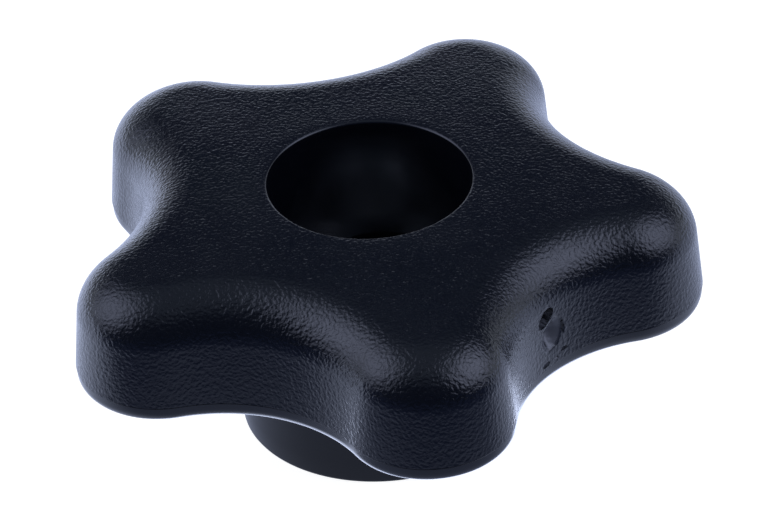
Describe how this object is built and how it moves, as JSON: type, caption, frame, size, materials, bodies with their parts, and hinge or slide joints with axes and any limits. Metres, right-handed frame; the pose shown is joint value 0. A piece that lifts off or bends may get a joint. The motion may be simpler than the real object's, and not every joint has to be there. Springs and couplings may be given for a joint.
{
  "type": "star knob",
  "caption": "Lobed star knob with a crowned, grained head, a deep round recess, a smooth hub beneath and a pressed-in hexagon nut that takes a threaded stud.",
  "frame": {"origin": "centre of the stud hole at the hub's clamping face", "axes": "+Z along the knob's axis from the clamping face to the crown, +X through the middle of one lobe"},
  "size_m": [0.0558, 0.0578, 0.0249],
  "materials": {
    "black_polyamide": "fine leather grain on the head above the parting line, plain satin on lip, hub and recess",
    "zinc_plated_steel": "bright zinc plate"
  },
  "bodies": {
    "root": {"knob_body": "black_polyamide", "hex_nut": "zinc_plated_steel"}
  },
  "joints": []
}
